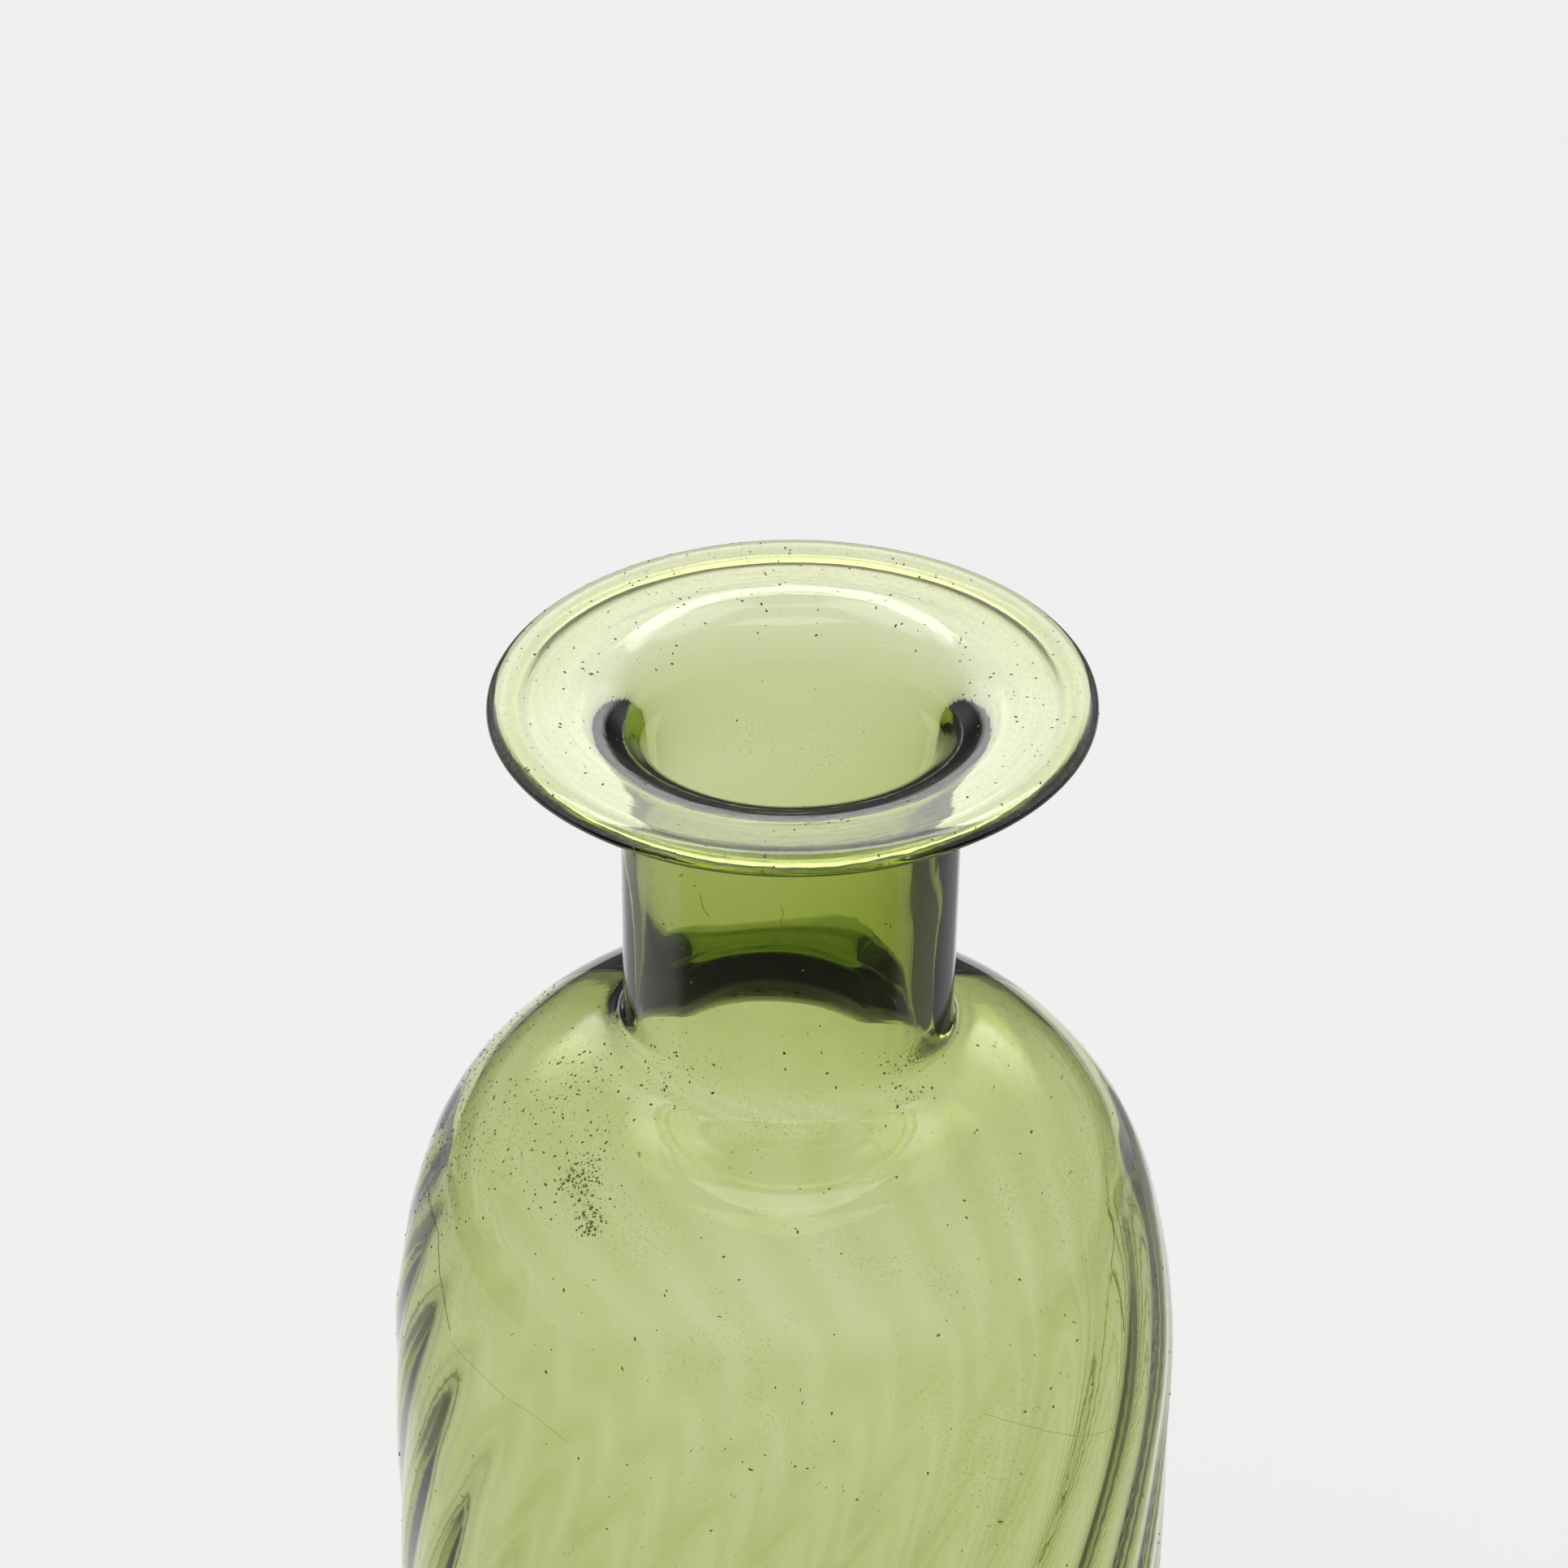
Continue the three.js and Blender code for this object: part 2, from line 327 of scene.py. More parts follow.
# How thick the wall is at each height, and how much the gather adds to it.
wall_heights = (0.015, 0.05, 0.09, 0.115, 0.127, 0.1355, 0.1415, 0.1465, 0.1505, 0.156, 0.175)
wall_sizes = (0.0024, 0.0019, 0.0017, 0.0017, 0.0018, 0.0020, 0.0023, 0.0028, 0.0031, 0.0034, 0.0036)
gather_heights = (0.128, 0.134, 0.1385, 0.143, 0.147, 0.150, 0.156, 0.164, 0.172)
gather_sizes = (0.0, 0.0013, 0.0034, 0.0046, 0.0048, 0.0036, 0.0021, 0.0007, 0.0)
# How far apart the points of the profile are, and how often each part of it is smoothed.
body_step = 0.0026
neck_step = 0.0008
fine_from_height = 0.130
fillet_share_of_step = 0.25
throat_step = 0.0006
flange_step = 0.0005
flange_under_step = 0.0007
neck_softenings = 6
inner_softenings = 8
lip_softenings = 3
# Where the ribs, the gather, the lip's lean, the bore's drift and the flatter neck begin and end. Heights are
# shares of the height of the neck's foot, and radii are in metres.
rib_rise_heights = (0.04, 0.14)
rib_fade_heights = (0.93, 0.66)
rib_radii = (0.022, 0.034)
gather_opening_heights = (0.965, 1.01)
gather_starts = (0.6, -0.35)
gather_fulls = (0.9, 0.35)
lean_heights = (1.1, 1.24)
drift_rise_heights = (0.85, 1.05)
drift_fade_heights = (1.24, 1.12)
drift_radii = (0.026, 0.018)
flatter_rise_heights = (0.85, 0.98)
flatter_fade_heights = (1.2, 1.05)
flatter_radii = (0.030, 0.019)
# The inner wall is uneven in its own way: it reads the waves this far on.
inner_wall_waves = 7.3
# Points nearer to each other than this become one.
merge_distance = 1e-6
# The glass takes its colour from the depth that the light crosses, and its mottle of dirt from two noises.
glass_colour = (0.603, 0.687, 0.0, 1)
glass_density = 262.0
mottle_grain_noise = (0.58, 0.72)
mottle_patch_noise = (0.52, 0.72)


def polar(centre, radius, angle):
    """The point at a distance and an angle from a centre."""
    return (centre[0] + radius * math.cos(angle), centre[1] + radius * math.sin(angle))


def arc(centre, radius, start, end, step, depth=None):
    """An arc of a circle, or of an ellipse when its depth differs from its radius."""
    count = max(2, round(abs(end - start) * radius / step))
    angles = [start + (end - start) * i / count for i in range(count + 1)]
    depth = depth or radius
    return [(centre[0] + radius * math.cos(a), centre[1] + depth * math.sin(a)) for a in angles]


def line(start, end, step):
    """The points of a straight line."""
    count = max(1, round(math.dist(start, end) / step))
    return [tuple(a + (b - a) * i / count for a, b in zip(start, end)) for i in range(count + 1)]


def heel_curve(low, high, step):
    """A quarter of an ellipse: level at the low point and upright at the high one."""
    arc_per_chord = 1.1
    count = max(2, round(math.dist(low, high) * arc_per_chord / step))
    angles = [math.pi / 2 * i / count for i in range(count + 1)]
    width = high[0] - low[0]
    depth = high[1] - low[1]
    return [(low[0] + width * math.sin(a), high[1] - depth * math.cos(a)) for a in angles]


def push_up_curve(top, bottom, step):
    """The flat top of the push-up and its rounded cone, which is level at both ends."""
    count = max(2, round(math.dist(top, bottom) / step))
    shares = [i / count for i in range(count + 1)]
    width = bottom[0] - top[0]
    depth = bottom[1] - top[1]
    cone = [(top[0] + width * s, top[1] + depth * (1 - math.cos(math.pi * s)) / 2) for s in shares]
    return line((0, top[1]), top, step) + cone[1:]


def outer_face(step):
    """The outer face from the heel to the foot of the neck: body wall, two shoulder curves and a fillet."""
    slow_centre = (body_radius - slow_curve_radius, spring_height)
    round_centre = polar(slow_centre, slow_curve_radius - shoulder_radius, slow_curve_angle)
    across = neck_base_radius + neck_fillet_radius - round_centre[0]
    rise = math.sqrt((shoulder_radius + neck_fillet_radius) ** 2 - across**2)
    fillet_centre = (neck_base_radius + neck_fillet_radius, round_centre[1] + rise)
    meet = math.atan2(rise, across)
    return (
        line((foot_radius, heel_height), (body_radius, spring_height), step)
        + arc(slow_centre, slow_curve_radius, 0, slow_curve_angle, step)[1:]
        + arc(round_centre, shoulder_radius, slow_curve_angle, meet, step)[1:]
        + arc(fillet_centre, neck_fillet_radius, math.pi + meet, math.pi, step * fillet_share_of_step)[1:]
    )


def set_in(points, heights, sizes):
    """The inner face: each point moved in, square to the curve, by the wall at its height."""
    curve = np.array(points)
    direction = np.gradient(curve, axis=0)
    direction /= np.linalg.norm(direction, axis=1)[:, None]
    wall = np.interp(curve[:, 1], heights, sizes)[:, None]
    return [tuple(p) for p in curve + wall * np.stack([-direction[:, 1], direction[:, 0]], axis=1)]


def even(points, step):
    """The same curve with its points at even distances."""
    curve = np.array(points)
    reach = np.r_[0, np.cumsum(np.linalg.norm(np.diff(curve, axis=0), axis=1))]
    places = np.linspace(0, reach[-1], max(2, round(reach[-1] / step)) + 1)
    return [tuple(p) for p in np.stack([np.interp(places, reach, curve[:, i]) for i in (0, 1)], axis=1)]


def soften(points, rounds):
    """Blends the curves into each other, as hot glass does. The two ends stay."""
    curve = np.array(points)
    for _ in range(rounds):
        curve[1:-1] = (curve[:-2] + 2 * curve[1:-1] + curve[2:]) / 4
    return [tuple(p) for p in curve]


outer = outer_face(neck_step)
neck_foot_height = outer[-1][1]
neck_top = (neck_top_radius, lip_top_height - flange_thickness - lip_under_depth)
outer += line(outer[-1], neck_top, neck_step)[1:]
fine_from = next(i for i, p in enumerate(outer) if p[1] > fine_from_height)
fine_part = soften(even(outer[fine_from:], neck_step), neck_softenings)
outer = even(outer[: fine_from + 1], body_step)[:-1] + fine_part
bore_top = (neck_top_radius - neck_wall, lip_top_height - lip_throat_depth)
inner = [p for p in set_in(outer, wall_heights, wall_sizes) if p[1] < bore_top[1] - neck_step / 2]
base_ring = ((stand_inner_radius + stand_outer_radius) / 2, base_wall)
inside = soften(
    push_up_curve((push_up_flat_radius, push_up_height + push_up_wall), base_ring, body_step)
    + heel_curve(base_ring, inner[0], body_step / 2)[1:-1]
    + inner
    + line(inner[-1], bore_top, body_step)[1:],
    inner_softenings,
)
throat_centre = (bore_top[0] + lip_throat_reach, bore_top[1])
throat = arc(throat_centre, lip_throat_reach, math.pi, math.pi / 2, throat_step, lip_throat_depth)
rim_section_centre = (lip_radius - rim_reach, lip_top_height + flange_rise - rim_half_height)
rim_end = math.asin((rim_thickness - rim_half_height) / rim_half_height) - math.pi
rim = arc(rim_section_centre, rim_reach, math.pi / 2, rim_end, flange_step, rim_half_height)
flange_top = line(throat[-1], rim[0], flange_step)
under_centre = (neck_top_radius + lip_under_reach, neck_top[1])
under = arc(under_centre, lip_under_reach, math.pi / 2, math.pi, flange_step, lip_under_depth)
swell_end = (rim_swell_radius, under[0][1])
to_swell = line(rim[-1], swell_end, flange_under_step)
flange_under = to_swell + line(swell_end, under[0], flange_under_step)[1:]
stand_outer = (stand_outer_radius, 0)
stand_inner = (stand_inner_radius, 0)
outside = (
    outer[::-1]
    + heel_curve(stand_outer, outer[0], body_step / 2)[::-1][1:]
    + line(stand_outer, stand_inner, body_step)[1:]
    + push_up_curve((push_up_flat_radius, push_up_height), stand_inner, body_step)[::-1][1:]
)
lip = soften(throat[1:] + flange_top[1:] + rim[1:], lip_softenings)
lip += soften(flange_under[1:] + under[1:-1], lip_softenings)
profile = inside + lip + outside
inner_count = len(inside) + len(throat)
inner_share = [1.0 if i < inner_count else 0.0 for i in range(len(profile))]
gather = [
    share * float(np.interp(height, gather_heights, gather_sizes))
    for share, (_, height) in zip(inner_share, profile)
]


def joined(tree, x, y, z):
    """A vector of three values."""
    return node(tree, "ShaderNodeCombineXYZ", [x, y, z]).outputs[0]


def off_axis(tree, x, y):
    """The distance from the flask's axis."""
    return calc(tree, "SQRT", calc(tree, "ADD", calc(tree, "MULTIPLY", x, x), calc(tree, "MULTIPLY", y, y)))


def tree_inputs(tree, **inputs):
    """Gives a node tree its inputs, each as a value or a type, and returns the sockets that carry them."""
    kinds = {float: "Float", int: "Int", tuple: "Color"}
    for name, value in inputs.items():
        kind = "NodeSocket" + kinds.get(type(value), value)
        made = tree.interface.new_socket(name.replace("_", " "), in_out="INPUT", socket_type=kind)
        if not isinstance(value, str):
            made.default_value = value
    return node(tree, "NodeGroupInput").outputs


def finish_tree(tree, geometry, material):
    """Ends a Geometry Nodes tree: real geometry, smooth, with its material."""
    tree.interface.new_socket("Geometry", in_out="OUTPUT", socket_type="NodeSocketGeometry")
    smooth = node(tree, "GeometryNodeSetShadeSmooth", {"Geometry": geometry, "Shade Smooth": True}).outputs[0]
    real = node(tree, "GeometryNodeRealizeInstances", [smooth]).outputs[0]
    node(tree, "NodeGroupOutput", [node(tree, "GeometryNodeSetMaterial", [real, None, material]).outputs[0]])


def make_piece(name, mesh, tree, **values):
    """Makes a piece: runs a Geometry Nodes tree on a mesh and keeps the result as the piece's plain mesh."""
    piece = bpy.data.objects.new(name, mesh)
    scene.collection.objects.link(piece)
    modifier = piece.modifiers.new(tree.name, "NODES")
    modifier.node_group = tree
    inputs = [s for s in tree.interface.items_tree if s.item_type == "SOCKET" and s.in_out == "INPUT"]
    sockets = {s.name.replace(" ", "_"): s.identifier for s in inputs}
    for key, value in values.items():
        modifier[sockets[key]] = value
    ready = piece.evaluated_get(bpy.context.evaluated_depsgraph_get())
    made = bpy.data.meshes.new_from_object(ready)
    piece.modifiers.remove(modifier)
    piece.data = made
    made.name = name
    return piece


def attribute(tree, name):
    """A number that is stored on the points of a mesh."""
    return node(tree, "GeometryNodeInputNamedAttribute", [name], data_type="FLOAT").outputs[0]


def of_row(tree, geometry, value, row, kind):
    """The value that a profile has at one of its points."""
    inputs = {"Geometry": geometry, "Value": value, "Index": row}
    return node(tree, "GeometryNodeSampleIndex", inputs, data_type=kind, domain="POINT").outputs[0]


def store(tree, geometry, name, value):
    """The mesh with a number stored on its points."""
    inputs = {"Geometry": geometry, "Name": name, "Value": value}
    return node(tree, "GeometryNodeStoreNamedAttribute", inputs, data_type="FLOAT", domain="POINT").outputs[0]


def blown_glass_tree():
    """Spins a profile into a wall of glass with swirled ribs and a lip, uneven as blown glass is."""
    tree = bpy.data.node_groups.new("blown glass", "GeometryNodeTree")
    given = tree_inputs(
        tree,
        Geometry="Geometry",
        Facets=252,
        Rib_Count=28.0,
        Rib_Height=0.0003,
        Crest_Sharpness=1.6,
        Twist=1.58,
        Phase=-1.37,
        Neck_Foot=0.15,
        Unevenness=0.00012,
        Unevenness_Size=0.025,
        Seed=3.0,
        Lip_Lean=0.0,
        Bore_Drift=0.0,
        Neck_Depth_Share=1.0,
        Material="Material",
    )
    size = node(tree, "GeometryNodeAttributeDomainSize", [given["Geometry"]], component="MESH")
    columns = calc(tree, "ADD", given["Facets"], 1.0)
    rows = size.outputs["Point Count"]
    grid = node(tree, "GeometryNodeMeshGrid", [1.0, 1.0, rows, columns]).outputs["Mesh"]
    index = node(tree, "GeometryNodeInputIndex").outputs[0]
    row = calc(tree, "FLOOR", calc(tree, "DIVIDE", calc(tree, "ADD", index, 0.5), columns))
    column = calc(tree, "FLOORED_MODULO", index, columns)
    around = calc(tree, "DIVIDE", calc(tree, "MULTIPLY", column, 2 * math.pi), given["Facets"])
    position = node(tree, "GeometryNodeInputPosition").outputs[0]
    at = split(tree, of_row(tree, given["Geometry"], position, row, "FLOAT_VECTOR"))
    marked = grid
    for name in ("inner", "gather"):
        value = of_row(tree, given["Geometry"], attribute(tree, name), row, "FLOAT")
        marked = store(tree, marked, name, value)
    across = calc(tree, "MULTIPLY", at[0], calc(tree, "COSINE", around))
    deep = calc(tree, "MULTIPLY", at[0], calc(tree, "SINE", around))
    spun = joined(tree, across, deep, at[2])
    placed = node(tree, "GeometryNodeSetPosition", {"Geometry": marked, "Position": spun}).outputs[0]
    merged = {"Geometry": placed, "Distance": merge_distance}
    closed = node(tree, "GeometryNodeMergeByDistance", merged).outputs[0]

    point = split(tree, position)
    inner = attribute(tree, "inner")
    radius = off_axis(tree, point[0], point[1])
    angle = calc(tree, "ARCTAN2", point[1], point[0])
    height = calc(tree, "DIVIDE", point[2], given["Neck Foot"])

    swirl = calc(tree, "MULTIPLY_ADD", given["Twist"], height, given["Phase"])
    wave = calc(tree, "COSINE", product(tree, given["Rib Count"], calc(tree, "SUBTRACT", angle, swirl)))
    crest = calc(tree, "POWER", calc(tree, "MULTIPLY_ADD", wave, 0.5, 0.5), given["Crest Sharpness"])
    ribbed = product(tree, ramp(tree, height, *rib_rise_heights), ramp(tree, height, *rib_fade_heights))
    rib = product(tree, crest, ribbed, ramp(tree, radius, *rib_radii), given["Rib Height"])

    waves = {
        "Vector": position,
        "W": calc(tree, "MULTIPLY_ADD", inner, inner_wall_waves, given["Seed"]),
        "Scale": calc(tree, "DIVIDE", 1.0, given["Unevenness Size"]),
        "Detail": 1.5,
        "Roughness": 0.4,
    }
    rough = node(tree, "ShaderNodeTexNoise", waves, noise_dimensions="4D")
    uneven = product(tree, calc(tree, "SUBTRACT", rough.outputs[0], 0.5), given["Unevenness"], 2.0)

    toward_back = calc(tree, "DIVIDE", point[1], calc(tree, "MAXIMUM", radius, 0.001))
    starts = ramp(tree, height, *gather_opening_heights, *gather_starts)
    full = ramp(tree, height, *gather_opening_heights, *gather_fulls)
    gathered = product(tree, attribute(tree, "gather"), ramp(tree, toward_back, starts, full))

    normal = node(tree, "GeometryNodeInputNormal").outputs[0]
    lift = total(tree, rib, uneven, gathered)
    offset = node(tree, "ShaderNodeVectorMath", [normal, None, None, lift], operation="SCALE").outputs[0]
    blown = node(tree, "GeometryNodeSetPosition", {"Geometry": closed, "Offset": offset}).outputs[0]

    lean = product(tree, point[0], given["Lip Lean"], ramp(tree, height, *lean_heights))
    bore = product(tree, ramp(tree, height, *drift_rise_heights), ramp(tree, height, *drift_fade_heights))
    drift = product(tree, inner, given["Bore Drift"], bore, ramp(tree, radius, *drift_radii))
    neck = product(tree, ramp(tree, height, *flatter_rise_heights), ramp(tree, height, *flatter_fade_heights))
    flatter = calc(tree, "SUBTRACT", given["Neck Depth Share"], 1.0)
    inward = product(tree, point[1], neck, ramp(tree, radius, *flatter_radii), flatter)
    moved = joined(tree, drift, inward, lean)
    drawn = node(tree, "GeometryNodeSetPosition", {"Geometry": blown, "Offset": moved}).outputs[0]
    finish_tree(tree, drawn, given["Material"])
    return tree


def cords_group():
    """The fine cords that blowing leaves on glass: rings on the lip, upright streaks elsewhere.

    Puts out how far they stand out, in metres.
    """
    tree = bpy.data.node_groups.new("glass cords", "ShaderNodeTree")
    tree.interface.new_socket("Height", in_out="OUTPUT", socket_type="NodeSocketFloat")
    given = tree_inputs(
        tree,
        Place="Vector",
        Lip_From=0.1855,
        Lip_Edge=0.002,
        Ring_Width=0.0011,
        Ring_Height=0.0,
        Ring_Off_Centre=0.0012,
        Ring_Breaks=1.7,
        Streak_Count=60.0,
        Streak_Length=0.03,
        Streak_Height=0.0,
    )
    x, y, z = split(tree, given["Place"])
    radius = off_axis(tree, x, y)
    safe = calc(tree, "MAXIMUM", radius, 0.001)
    side = calc(tree, "DIVIDE", x, safe)
    front = calc(tree, "DIVIDE", y, safe)
    off_centre = calc(tree, "MULTIPLY_ADD", side, given["Ring Off Centre"], radius)
    ring_place = joined(
        tree,
        calc(tree, "DIVIDE", off_centre, given["Ring Width"]),
        calc(tree, "MULTIPLY", side, given["Ring Breaks"]),
        calc(tree, "MULTIPLY", front, given["Ring Breaks"]),
    )
    turns = calc(tree, "DIVIDE", given["Streak Count"], 2 * math.pi)
    streak_place = joined(
        tree,
        calc(tree, "MULTIPLY", side, turns),
        calc(tree, "MULTIPLY", front, turns),
        calc(tree, "DIVIDE", z, given["Streak Length"]),
    )
    drawn_out = {"Scale": 1.0, "Detail": 3.0, "Roughness": 0.6}
    rings = node(tree, "ShaderNodeTexNoise", {"Vector": ring_place, **drawn_out})
    streaks = node(tree, "ShaderNodeTexNoise", {"Vector": streak_place, **drawn_out})
    on_lip = ramp(tree, z, calc(tree, "SUBTRACT", given["Lip From"], given["Lip Edge"]), given["Lip From"])
    off_lip = calc(tree, "SUBTRACT", 1.0, on_lip)
    height = total(
        tree,
        product(tree, rings.outputs[0], given["Ring Height"], on_lip),
        product(tree, streaks.outputs[0], given["Streak Height"], off_lip),
    )
    node(tree, "NodeGroupOutput", [height])
    return tree


def grime_group():
    """Dried-on dirt: scattered specks and a fine mottle, as a colour that tints the glass under it."""
    tree = bpy.data.node_groups.new("grime", "ShaderNodeTree")
    tree.interface.new_socket("Color", in_out="OUTPUT", socket_type="NodeSocketColor")
    given = tree_inputs(
        tree,
        Place="Vector",
        Speck_Size=0.0011,
        Speck_Share=0.5,
        Speck_Reach=0.16,
        Speck_Core=0.6,
        Patch_Scale=45.0,
        Mottle_Size=0.00035,
        Mottle_Amount=0.3,
        Dirt=(0.16, 0.14, 0.06, 1),
    )
    cell = {"Vector": given["Place"], "Scale": calc(tree, "DIVIDE", 1.0, given["Speck Size"])}
    cells = node(tree, "ShaderNodeTexVoronoi", cell)
    lot = split(tree, cells.outputs["Color"])[0]
    chosen = calc(tree, "LESS_THAN", lot, given["Speck Share"])
    reach = calc(tree, "MULTIPLY", lot, given["Speck Reach"])
    full = calc(tree, "MULTIPLY", reach, given["Speck Core"])
    speck = product(tree, chosen, ramp(tree, cells.outputs["Distance"], reach, full))
    broad = {"Vector": given["Place"], "Scale": given["Patch Scale"], "Detail": 2.0}
    patches = node(tree, "ShaderNodeTexNoise", broad)
    fine_scale = calc(tree, "DIVIDE", 1.0, given["Mottle Size"])
    fine = {"Vector": given["Place"], "Scale": fine_scale, "Detail": 2.0}
    grains = node(tree, "ShaderNodeTexNoise", fine)
    mottle = product(
        tree,
        ramp(tree, grains.outputs[0], *mottle_grain_noise),
        ramp(tree, patches.outputs[0], *mottle_patch_noise),
        given["Mottle Amount"],
    )
    mask = calc(tree, "MAXIMUM", speck, mottle)
    node(tree, "NodeGroupOutput", [mix(tree, mask, grey(1.0), given["Dirt"])])
    return tree


glass_cords = cords_group()
grime = grime_group()


def glass_material(name, roughness, ring_height, streak_height, mottle_amount):
    """Green bottle glass with its cords and grime. Lamp light passes it, to the table and the dirt.

    The heights of the cords are in metres.
    """
    material, tree, place = new_material(name)
    heights = {"Place": place, "Ring Height": ring_height, "Streak Height": streak_height}
    cords = node(tree, "ShaderNodeGroup", heights, node_tree=glass_cords)
    soiled = {"Place": place, "Mottle Amount": mottle_amount}
    dirt = node(tree, "ShaderNodeGroup", soiled, node_tree=grime)
    bump = node(tree, "ShaderNodeBump", {"Strength": 1.0, "Distance": 1.0, "Height": cords.outputs["Height"]})
    finish = {
        "Base Color": dirt.outputs["Color"],
        "Roughness": roughness,
        "IOR": 1.5,
        "Transmission Weight": 1.0,
        "Normal": bump.outputs[0],
    }
    glass = node(tree, "ShaderNodeBsdfPrincipled", finish)
    clear = node(tree, "ShaderNodeBsdfTransparent")
    path = node(tree, "ShaderNodeLightPath").outputs
    through = calc(tree, "MAXIMUM", path["Is Shadow Ray"], path["Is Diffuse Ray"])
    surface = node(tree, "ShaderNodeMixShader", [through, glass.outputs[0], clear.outputs[0]])
    absorb = node(tree, "ShaderNodeVolumeAbsorption", {"Color": glass_colour, "Density": glass_density})
    node(tree, "ShaderNodeOutputMaterial", {"Surface": surface.outputs[0], "Volume": absorb.outputs[0]})
    return material


mesh = bpy.data.meshes.new("profile")
mesh.from_pydata([(r, 0, z) for r, z in profile], [(i, i + 1) for i in range(len(profile) - 1)], [])
for name, values in (("inner", inner_share), ("gather", gather)):
    mesh.attributes.new(name, "FLOAT", "POINT").data.foreach_set("value", values)
flask_glass = make_piece(
    "flask_glass",
    mesh,
    blown_glass_tree(),
    Facets=252,
    Rib_Count=28.0,
    Rib_Height=0.0003,
    Crest_Sharpness=1.6,
    Twist=math.radians(90.5),
    Phase=math.radians(-78.5),
    Neck_Foot=neck_foot_height,
    Unevenness=0.00012,
    Unevenness_Size=0.025,
    Seed=3.0,
    Lip_Lean=math.radians(0.83),
    Bore_Drift=-0.0009,
    Neck_Depth_Share=0.965,
    Material=glass_material(
        "green_bottle_glass", roughness=0.0, ring_height=0.000022, streak_height=0.000010, mottle_amount=0.5
    ),
)
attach(flask_glass, "root")
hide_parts("vessel", "applied_lip")


# Settled dust: a thin grey film on the flat lip and the top of the shoulder, where dust comes to rest.
# It is dry and clings to the glass, heaviest in the rings of the lip.
dust_colours = (0.50, 0.45, 0.42, 1), (0.70, 0.65, 0.62, 1)
dust_roughness = 0.9
dust_sheen = 0.1
dust_from_height = 0.118
dust_full_height = 0.133
dust_least_slope = 0.35
dust_gap = 0.00003
dust_thickness = 0.00002
dust_lip_heights = (0.180, 0.186)
dust_on_lip = 0.035
dust_lip_radii = (0.0205, 0.0235)
dust_ring_width = 0.0008
dust_ring_pitch = 0.0009
dust_ring_breaks = 40.0
dust_ring_noise = (0.32, 0.75)
dust_ring_levels = (0.45, 2.2)
dust_on_shoulder = 0.02
dust_patch_scale = 70.0
dust_patch_noise = (0.4, 0.7)
dust_grain_scale = 1600.0
dust_grain_noise = (0.35, 0.7)
dust_grain_levels = (0.7, 1.3)


def film_tree():
    """A thin closed film over the faces that look upwards above a height."""
    tree = bpy.data.node_groups.new("settled dust", "GeometryNodeTree")
    given = tree_inputs(
        tree,
        Geometry="Geometry",
        From_Height=0.1,
        Least_Slope=0.35,
        Gap=0.00003,
        Thickness=0.00002,
        Material="Material",
    )
    normal = node(tree, "GeometryNodeInputNormal").outputs[0]
    height = split(tree, node(tree, "GeometryNodeInputPosition").outputs[0])[2]
    upward = calc(tree, "GREATER_THAN", split(tree, normal)[2], given["Least Slope"])
    high = calc(tree, "GREATER_THAN", height, given["From Height"])
    lies = {"Geometry": given["Geometry"], "Selection": calc(tree, "MULTIPLY", upward, high)}
    kept = node(tree, "GeometryNodeSeparateGeometry", lies, domain="FACE").outputs[0]
    gap = node(tree, "ShaderNodeVectorMath", [normal, None, None, given["Gap"]], operation="SCALE").outputs[0]
    base = node(tree, "GeometryNodeSetPosition", {"Geometry": kept, "Offset": gap}).outputs[0]
    raised = {"Mesh": base, "Offset Scale": given["Thickness"], "Individual": False}
    top = node(tree, "GeometryNodeExtrudeMesh", raised).outputs[0]
    under = node(tree, "GeometryNodeFlipFaces", [base]).outputs[0]
    both = node(tree, "GeometryNodeJoinGeometry")
    tree.links.new(top, both.inputs[0])
    tree.links.new(under, both.inputs[0])
    merged = {"Geometry": both.outputs[0], "Distance": merge_distance}
    closed = node(tree, "GeometryNodeMergeByDistance", merged).outputs[0]
    finish_tree(tree, closed, given["Material"])
    return tree


def noise_level(tree, place, scale, detail=2.0, roughness=0.5):
    """A soft noise, about 0.5 on the whole."""
    inputs = {"Vector": place, "Scale": scale, "Detail": detail, "Roughness": roughness}
    return node(tree, "ShaderNodeTexNoise", inputs).outputs[0]


material, tree, place = new_material("settled_dust")
x, y, z = split(tree, place)
radius = off_axis(tree, x, y)
spiral = calc(tree, "MULTIPLY_ADD", calc(tree, "ARCTAN2", y, x), dust_ring_pitch, radius)
ring_place = joined(
    tree,
    calc(tree, "DIVIDE", spiral, dust_ring_width),
    calc(tree, "MULTIPLY", x, dust_ring_breaks),
    calc(tree, "MULTIPLY", y, dust_ring_breaks),
)
rings = noise_level(tree, ring_place, 1.0, detail=4.0, roughness=0.65)
grains = noise_level(tree, place, dust_grain_scale, roughness=0.7)
patches = noise_level(tree, place, dust_patch_scale, detail=3.0, roughness=0.6)
on_lip = ramp(tree, z, *dust_lip_heights)
outside_throat = ramp(tree, radius, *dust_lip_radii)
in_rings = ramp(tree, rings, *dust_ring_noise, *dust_ring_levels)
lip_share = product(tree, on_lip, outside_throat, in_rings, dust_on_lip)
off_lip = calc(tree, "SUBTRACT", 1.0, on_lip)
shoulder_share = product(tree, off_lip, ramp(tree, patches, *dust_patch_noise), dust_on_shoulder)
fade = ramp(tree, z, dust_from_height, dust_full_height)
grain = ramp(tree, grains, *dust_grain_noise, *dust_grain_levels)
finish = {
    "Base Color": mix(tree, grains, *dust_colours),
    "Roughness": dust_roughness,
    "Specular IOR Level": dust_sheen,
    "Alpha": product(tree, total(tree, lip_share, shoulder_share), grain, fade),
}
dust = node(tree, "ShaderNodeBsdfPrincipled", finish)
